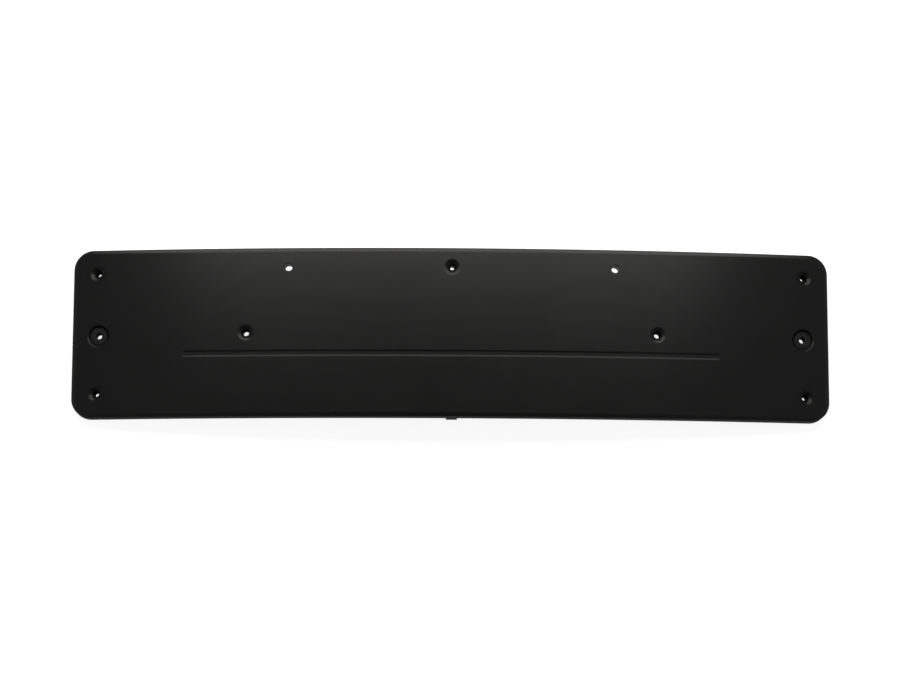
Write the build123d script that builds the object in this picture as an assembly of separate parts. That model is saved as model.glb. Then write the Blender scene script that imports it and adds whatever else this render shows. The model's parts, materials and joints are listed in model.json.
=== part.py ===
from build123d import *
import os
from math import asin, degrees, sqrt

# Number plate holder, moulded in one piece: a bowed plate with a rim, lying on its back.
# X runs along the plate, Y points to its upper edge and Z out of its front face.
# The origin is on the surface under the middle of the plate. All sizes are in millimetres.

# Outline and bow
plate_length = 525.0      # end to end
plate_height = 117.0      # lower edge to upper edge
corner_radius = 13.5
bow_radius = 1600.0       # of the front face, about an axis along Y
edge_bevel = 2.4          # width of the bevel between the front face and the rim
edge_slope = 21.5         # degrees that the bevel falls away from the face

# Moulded section
skin = 2.8                # wall behind the front face
rim_wall = 2.6
rim_depth = 12.0          # front face to the rim's back edge
boss_wall = 2.4           # plastic around a bore or a recess

# Stiffening ribs on the back
rib_wall = 1.8
rib_setback = 2.0         # the ribs stop short of the rim's back edge

# Dished screw holes: the four corners, the inner pair and the middle of the upper row
screw_bore = 3.0          # diameter in the corners and the upper row
inner_bore = 4.0          # diameter in the inner pair
screw_dish = 11.0         # diameter of the rounded mouth at the face
corner_inset = 17.6       # from the ends
corner_edge = 16.5        # from the long edges
inner_spacing = 283.5     # across the pair
inner_y = -0.5

# Fixing holes: the outer two of the upper row
row_edge = 13.5           # from the upper edge
row_spacing = 225.5       # across the outer two
fixing_bore = 5.3         # diameter

# Round recesses at the ends, each with a hole in its floor
recess_diameter = 15.6    # at the face
recess_depth = 2.5
recess_bevel = 0.8        # width and depth of the bevel at its mouth
recess_bore = 4.0         # diameter
recess_inset = 18.5       # from the ends
recess_y = -1.5

# Long groove across the front
groove_length = 370.0
groove_width = 3.5
groove_depth = 1.0
groove_y = -14.8

# Locating lug behind the middle of the lower rim
lug_width = 7.6
lug_length = 8.5

# Places that follow from the sizes
half_length = plate_length / 2
half_height = plate_height / 2
bow_z = -sqrt((bow_radius - rim_depth) ** 2 - half_length**2)
bow_axis = Axis((0, 0, bow_z), (0, 1, 0))
corner_x = half_length - corner_inset
corner_y = half_height - corner_edge
inner_x = inner_spacing / 2
row_x = row_spacing / 2
row_y = half_height - row_edge
recess_x = half_length - recess_inset
corner_places = [(x, y) for x in (-corner_x, corner_x) for y in (-corner_y, corner_y)]
screw_places = corner_places + [(0, row_y)]
inner_places = [(-inner_x, inner_y), (inner_x, inner_y)]
fixing_places = [(-row_x, row_y), (row_x, row_y)]
recess_places = [(-recess_x, recess_y), (recess_x, recess_y)]

standing_on = (Align.CENTER, Align.CENTER, Align.MIN)


def height(depth, x):
    # Height of the bowed surface that lies this deep behind the front face.
    return bow_z + sqrt((bow_radius - depth) ** 2 - x**2)


def bowed_line(depth, end):
    return ThreePointArc((-end, height(depth, end)), (0, height(depth, 0)), (end, height(depth, end)))


def layer(top, bottom, inset):
    # Bowed slab between two depths, with the plate's outline drawn in by an inset.
    end = half_length - inset
    upper = bowed_line(top, end)
    lower = bowed_line(bottom, end)
    section = make_face([upper, Line(upper @ 1, lower @ 1), lower, Line(lower @ 0, upper @ 0)])
    slab = extrude(Plane.XZ * section, half_height - inset, both=True)
    return fillet(slab.edges().filter_by(Axis.Z), corner_radius - inset)


def through(plan):
    # A plan seen from above, drawn up and down past the whole part.
    return extrude(plan, height(0, 0) + rim_depth, both=True)


def discs(margin):
    # Plan of all the bores, each widened by a margin.
    bored = [
        (screw_bore, screw_places),
        (inner_bore, inner_places),
        (fixing_bore, fixing_places),
        (recess_bore, recess_places),
    ]
    plan = Sketch()
    for diameter, places in bored:
        plan += [Pos(x, y) * Circle(diameter / 2 + margin) for x, y in places]
    return plan


def front_face(body):
    return body.faces().sort_by(Axis.Z)[-1]


def shell():
    # Front wall and rim.
    block = layer(0, rim_depth, 0)
    front = front_face(block)
    block = chamfer(front.edges(), edge_bevel, angle=edge_slope, reference=front)
    return block - layer(skin, 2 * rim_depth, rim_wall)


def ribs():
    # Along the three rows of holes, and across at the hole columns and half way between them.
    plan = Sketch()
    for y in (row_y, inner_y, -corner_y):
        plan += Pos(0, y) * Rectangle(plate_length, rib_wall)
    plan += Rectangle(rib_wall, plate_height)
    for x in (row_x / 2, row_x, (row_x + corner_x) / 2, corner_x):
        plan += Pos(x, 0) * Rectangle(rib_wall, plate_height)
        plan += Pos(-x, 0) * Rectangle(rib_wall, plate_height)
    return through(plan) & layer(skin / 2, rim_depth - rib_setback, rim_wall / 2)


def bosses():
    # Round pillars around the bores, level with the rim's back edge.
    return through(discs(boss_wall)) & layer(skin / 2, rim_depth, rim_wall / 2)


def recess_cups():
    # Walls behind the recesses, with flat floors as thick as the skin.
    cups = Part()
    for x, y in recess_places:
        back = height(0, x) - recess_depth - skin
        cup = Cylinder(recess_diameter / 2 + boss_wall, rim_depth, align=standing_on)
        cups += Pos(x, y, back) * cup
    return cups & layer(skin / 2, rim_depth, rim_wall / 2)


def groove_backing():
    # Ridge behind the groove that keeps the wall whole.
    plan = Pos(0, groove_y) * Rectangle(groove_length + 2 * skin, groove_width + 2 * skin)
    return through(plan) & layer(skin / 2, skin + groove_depth, rim_wall / 2)


def lug():
    # Square tab that carries the lower rim on past its back edge.
    plan = Pos(0, rim_wall / 2 - half_height) * Rectangle(lug_width, rim_wall)
    return through(plan) & layer(rim_depth - skin, rim_depth + lug_length, 0)


def groove_cut():
    # Square channel that keeps its depth along the bow.
    section = Pos(groove_y, height(0, 0)) * Rectangle(groove_width, 2 * groove_depth)
    sweep = 2 * degrees(asin(groove_length / 2 / bow_radius))
    return revolve((Plane.YZ * section).rotate(bow_axis, -sweep / 2), bow_axis, sweep)


def recess_pockets():
    # Flat-floored pockets, drawn up past the front face.
    pockets = Part()
    for x, y in recess_places:
        pocket = Cylinder(recess_diameter / 2 - recess_bevel, recess_depth + rim_depth, align=standing_on)
        pockets += Pos(x, y, height(0, x) - recess_depth) * pocket
    return pockets


def mouths(body, places):
    # Edges of the holes at these places in the front face.
    rims = front_face(body).inner_wires()
    found = [rims.sort_by_distance((x, y, height(0, x)))[0].edges() for x, y in places]
    return [edge for edges in found for edge in edges]


plate = shell() + ribs() + bosses() + recess_cups() + groove_backing() + lug()
plate -= groove_cut()
plate -= recess_pockets()
plate -= through(discs(0))
plate = fillet(mouths(plate, screw_places), (screw_dish - screw_bore) / 2)
plate = fillet(mouths(plate, inner_places), (screw_dish - inner_bore) / 2)
plate = chamfer(mouths(plate, recess_places), recess_bevel)

os.makedirs("parts", exist_ok=True)
export_step(plate, "parts/plate_holder.step")
print(f"plate_holder: {plate.volume / 1000:.1f} cm3 in {len(plate.solids())} solid")
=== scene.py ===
import json
from math import radians

import bpy
from mathutils import Matrix, Vector


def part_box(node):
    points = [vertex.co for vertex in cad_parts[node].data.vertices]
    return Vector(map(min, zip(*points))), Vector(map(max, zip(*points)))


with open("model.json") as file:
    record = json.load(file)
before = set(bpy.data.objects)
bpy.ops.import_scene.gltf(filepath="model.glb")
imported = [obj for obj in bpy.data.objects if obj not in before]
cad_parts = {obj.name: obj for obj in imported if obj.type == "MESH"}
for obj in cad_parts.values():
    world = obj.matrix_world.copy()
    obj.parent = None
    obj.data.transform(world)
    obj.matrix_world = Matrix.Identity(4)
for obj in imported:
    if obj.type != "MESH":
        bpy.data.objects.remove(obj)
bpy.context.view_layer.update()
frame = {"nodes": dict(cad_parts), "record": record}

holder = frame["nodes"]["plate_holder"]
lowCorner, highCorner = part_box("plate_holder")
print("frame loaded, holder measures", [round(size, 4) for size in highCorner - lowCorner], "m")


class Wire:  # an output socket, whose sums and products become Math nodes
    def __init__(self, paint, socket):
        self.paint = paint
        self.socket = socket

    def __add__(self, other):
        return self.paint.math("ADD", self, other)

    def __radd__(self, other):
        return self.paint.math("ADD", other, self)

    def __sub__(self, other):
        return self.paint.math("SUBTRACT", self, other)

    def __rsub__(self, other):
        return self.paint.math("SUBTRACT", other, self)

    def __mul__(self, other):
        return self.paint.math("MULTIPLY", self, other)

    def __rmul__(self, other):
        return self.paint.math("MULTIPLY", other, self)

    def __abs__(self):
        return self.paint.math("ABSOLUTE", self, 0)


class Paint:  # the node tree of a material or a world
    def __init__(self, owner):
        self.owner = owner
        self.owner.use_nodes = True
        self.tree = owner.node_tree
        self.tree.nodes.clear()

    def node(self, kind, settings, sockets, output=0):
        made = self.tree.nodes.new(kind)
        for name, value in settings.items():
            setattr(made, name, value)
        for key, value in sockets.items():
            socket = made.inputs[key]
            if isinstance(value, Wire):
                self.tree.links.new(value.socket, socket)
            else:
                socket.default_value = value
        return Wire(self, made.outputs[output]) if made.outputs else made

    def math(self, operation, first, second):
        return self.node("ShaderNodeMath", {"operation": operation}, {0: first, 1: second})

    def vector(self, operation, first, second, output="Vector"):
        return self.node("ShaderNodeVectorMath", {"operation": operation}, {0: first, 1: second}, output)

    def coords(self, kind):
        return self.node("ShaderNodeTexCoord", {}, {}, kind)

    def along(self, axis, vector):
        return self.node("ShaderNodeSeparateXYZ", {}, {0: vector}, axis)

    def noise(self, coords, scale, detail):
        return self.node("ShaderNodeTexNoise", {}, {"Vector": coords, "Scale": scale, "Detail": detail})

    def ramp(self, value, start, end):  # eases from 0 to 1
        sockets = {"Value": value, "From Min": start, "From Max": end}
        return self.node("ShaderNodeMapRange", {"interpolation_type": "SMOOTHSTEP"}, sockets)

    def tint(self, share, first, second):  # 6, 7 and 2 are the Mix node's sockets for colours
        return self.node("ShaderNodeMix", {"data_type": "RGBA"}, {"Factor": share, 6: first, 7: second}, 2)

    def bump(self, relief, depth, normal):
        return self.node("ShaderNodeBump", {}, {"Height": relief, "Distance": depth, "Normal": normal})

    def shader(self, sockets):
        return self.node("ShaderNodeBsdfPrincipled", {}, sockets)

    def blend(self, share, first, second):
        return self.node("ShaderNodeMixShader", {}, {0: share, 1: first, 2: second})

    def whiteTo(self, nearby):  # 1 for the camera, and for reflections as far as nearby allows
        rays = ("Is Camera Ray", "Is Glossy Ray", "Is Transmission Ray")
        camera, glossy, clear = (self.node("ShaderNodeLightPath", {}, {}, ray) for ray in rays)
        return camera + (glossy + clear) * nearby

    def finish(self, shader, kind="ShaderNodeOutputMaterial"):
        self.node(kind, {}, {"Surface": shader})
        return self.owner


def addObject(name, data):
    made = bpy.data.objects.new(name, data)
    bpy.context.scene.collection.objects.link(made)
    return made


# the holder: black moulded plastic
plasticLook = {
    "darker": (0.0045, 0.0045, 0.0043, 1),   # the black drifts between these two
    "paler": (0.0075, 0.0075, 0.0071, 1),
    "roughness": 0.256,
    "roughnessDrift": 0.04,            # how far the gloss drifts over the face
    "drift": (22, 3),                  # of each noise: features per metre, and detail
    "grain": (2200, 2),
    "waves": (90, 1),
    "grainDepth": 0.000006,            # metres
    "wavesDepth": 0.000012,
    "edgeSoftness": 0.0010,            # radius of the small edges, metres
    "edgeSamples": 6,
    "dullAndShadeGloss": 0.10,                 # specular level of the duller places and of the painted shade in the end recesses, against 0.5 on the face
    "dished": ("plate_corners", "inner_pair", "upper_row_middle"),
    "dishDullness": 0.525,             # share of the full dullness
    "dishMouth": (0.0045, 0.0055),     # metres from the middle over which the face's gloss comes back
    "recessed": ("end_recesses",),
    "recessFloorShade": (0.0048, 0.0064),   # metres from the middle over which the floor's edge goes dull as painted shade, out to the mouth below
    "recessMouth": (0.0070, 0.0077),
}


def holePlaces(names):  # in plan, the middle of each hole in the mounts of these names
    places = set()
    for mount in frame["record"]["mounts"]:
        if mount["name"] in names:
            x, y = mount["pos_m"][:2]
            spacings = (mount["dims"].get(key, 0) for key in ("spacing_x_mm", "spacing_y_mm"))
            halfX, halfY = (spacing / 1000 / 2 for spacing in spacings)
            places |= {(x + side * halfX, y + end * halfY, 0) for side in (-1, 1) for end in (-1, 1)}
    return sorted(places)


def nearestHole(paint, plan, names):  # how far it is to the middle of the nearest one
    distances = [paint.vector("DISTANCE", plan, place, "Value") for place in holePlaces(names)]
    nearest = distances[0]
    for distance in distances[1:]:
        nearest = paint.math("MINIMUM", nearest, distance)
    return nearest


def dullAndShadedPlaces(paint, coords, look):  # the duller dishes, and painted shade on the recesses' walls and the edge of their floors
    plan = paint.vector("MULTIPLY", coords, (1, 1, 0))
    fromDish = nearestHole(paint, plan, look["dished"])
    fromRecess = nearestHole(paint, plan, look["recessed"])
    inDish = 1 - paint.ramp(fromDish, *look["dishMouth"])
    inRecess = 1 - paint.ramp(fromRecess, *look["recessMouth"])
    offFloor = paint.ramp(fromRecess, *look["recessFloorShade"])
    return paint.math("MAXIMUM", inDish * look["dishDullness"], inRecess * offFloor)


def grainedPlastic(look):
    paint = Paint(bpy.data.materials.new("grainedPlastic"))
    coords = paint.coords("Object")
    drift = paint.noise(coords, *look["drift"])
    grain = paint.noise(coords, *look["grain"])
    waves = paint.noise(coords, *look["waves"])
    rounding = {"Radius": look["edgeSoftness"]}
    softened = paint.node("ShaderNodeBevel", {"samples": look["edgeSamples"]}, rounding)
    wavy = paint.bump(waves, look["wavesDepth"], softened)
    grained = paint.bump(grain, look["grainDepth"], wavy)
    uneven = drift + grain - 1   # about 0 on average
    gloss = look["roughness"] + uneven * look["roughnessDrift"]
    black = paint.tint(drift, look["darker"], look["paler"])
    surface = {"Base Color": black, "Roughness": gloss, "Normal": grained}
    satin = paint.shader(surface)
    # a duller copy of the plastic: in the dishes a duller finish, in the end recesses painted shade
    # darkening the walls and the floor's edge
    dullAndShaded = paint.shader({**surface, "Specular IOR Level": look["dullAndShadeGloss"]})
    return paint.finish(paint.blend(dullAndShadedPlaces(paint, coords, look), satin, dullAndShaded))


holder.data.materials.clear()
holder.data.materials.append(grainedPlastic(plasticLook))
print("plastic made")


# the white table top
tableLook = {
    "width": 40.0,
    "colour": (0.8, 0.8, 0.79, 1),
    "roughness": 0.7,
    "gloss": 0.0,
    "glow": 0.86,                # what the view itself adds, so that the open table is white
    "shade": (0.3, 1.5),         # metres from the holder over which reflections come to see that glow
}


def whiteTable(look):
    paint = Paint(bpy.data.materials.new("whiteTable"))
    coords = paint.coords("Object")
    pastEnds = abs(paint.along("X", coords)) - highCorner.x
    pastEdges = abs(paint.along("Y", coords)) - highCorner.y
    seen = paint.whiteTo(paint.ramp(paint.math("MAXIMUM", pastEnds, pastEdges), *look["shade"]))
    matt = {
        "Base Color": look["colour"],
        "Roughness": look["roughness"],
        "Specular IOR Level": look["gloss"],
    }
    glow = {"Emission Color": (1, 1, 1, 1), "Emission Strength": look["glow"]}
    return paint.finish(paint.blend(seen, paint.shader(matt), paint.shader({**matt, **glow})))


def tableTop(look):
    edge = look["width"] / 2
    corners = [(-edge, -edge, 0), (edge, -edge, 0), (edge, edge, 0), (-edge, edge, 0)]
    mesh = bpy.data.meshes.new("table")
    mesh.from_pydata(corners, [], [(0, 1, 2, 3)])
    mesh.materials.append(whiteTable(look))
    return addObject("table", mesh)


table = tableTop(tableLook)
print("table laid")


# light: a large softbox beyond the upper edge, and a dim room
lamps = {
    "place": (0.006, 0.343, 0.485),
    "aim": (0.0, -0.4, 0.02),
    "size": (0.81, 0.56),
    "power": 2.86,               # watts
    "colour": (1.0, 0.985, 0.96),
    "room": 0.055,               # brightness of the room overhead
    "sides": 4.5,                # how much it gains towards the left and right
    "horizon": (0.0, 0.06),      # rise of a ray over which reflections pass from white to the dim room
}


def softbox(look):
    light = bpy.data.lights.new("softbox", "AREA")
    light.shape = "RECTANGLE"
    light.size, light.size_y = look["size"]
    light.energy = look["power"]
    light.color = look["colour"]
    lamp = addObject("softbox", light)
    lamp.location = look["place"]
    lamp.rotation_euler = (Vector(look["aim"]) - lamp.location).to_track_quat("-Z", "Y").to_euler()
    lamp.visible_camera = False


def dimRoom(look):
    paint = Paint(bpy.data.worlds.new("dimRoom"))
    outwards = paint.coords("Generated")
    dim = look["room"] * (1 + look["sides"] * abs(paint.along("X", outwards)))
    seen = paint.whiteTo(1 - paint.ramp(paint.along("Z", outwards), *look["horizon"]))
    level = dim + seen * (1 - dim)
    glow = paint.node("ShaderNodeBackground", {}, {"Color": (1, 1, 1, 1), "Strength": level})
    bpy.context.scene.world = paint.finish(glow, "ShaderNodeOutputWorld")


softbox(lamps)
dimRoom(lamps)
print("lamps set")


# the camera looks almost straight down, from a little below the lower edge
viewpoint = {
    "distance": 1.8,
    "tilt": 8.91,                    # degrees from straight down
    "swing": -1.06,                  # degrees to the side
    "roll": 0.18,
    "slide": (-0.00144, -0.00337),   # of the camera in its own picture plane, metres
    "aimY": -0.00076,
    "focalPixels": 2622.5,           # focal length, in pixels of the picture
    "imageWidth": 900,
    "sensor": 36.0,                  # millimetres
}


def photoCamera(look):
    data = bpy.data.cameras.new("photoCamera")
    data.sensor_fit = "HORIZONTAL"
    data.sensor_width = look["sensor"]
    data.lens = look["focalPixels"] * look["sensor"] / look["imageWidth"]
    swing, tilt, roll = (Matrix.Rotation(radians(look[name]), 4, axis)
                         for name, axis in (("swing", "Y"), ("tilt", "X"), ("roll", "Z")))
    aim = Matrix.Translation((0, look["aimY"], highCorner.z))
    back = Matrix.Translation((*look["slide"], look["distance"]))
    camera = addObject("photoCamera", data)
    camera.matrix_world = aim @ swing @ tilt @ roll @ back
    bpy.context.scene.camera = camera


photoCamera(viewpoint)
bpy.context.scene.view_settings.view_transform = "Standard"
print("camera set")
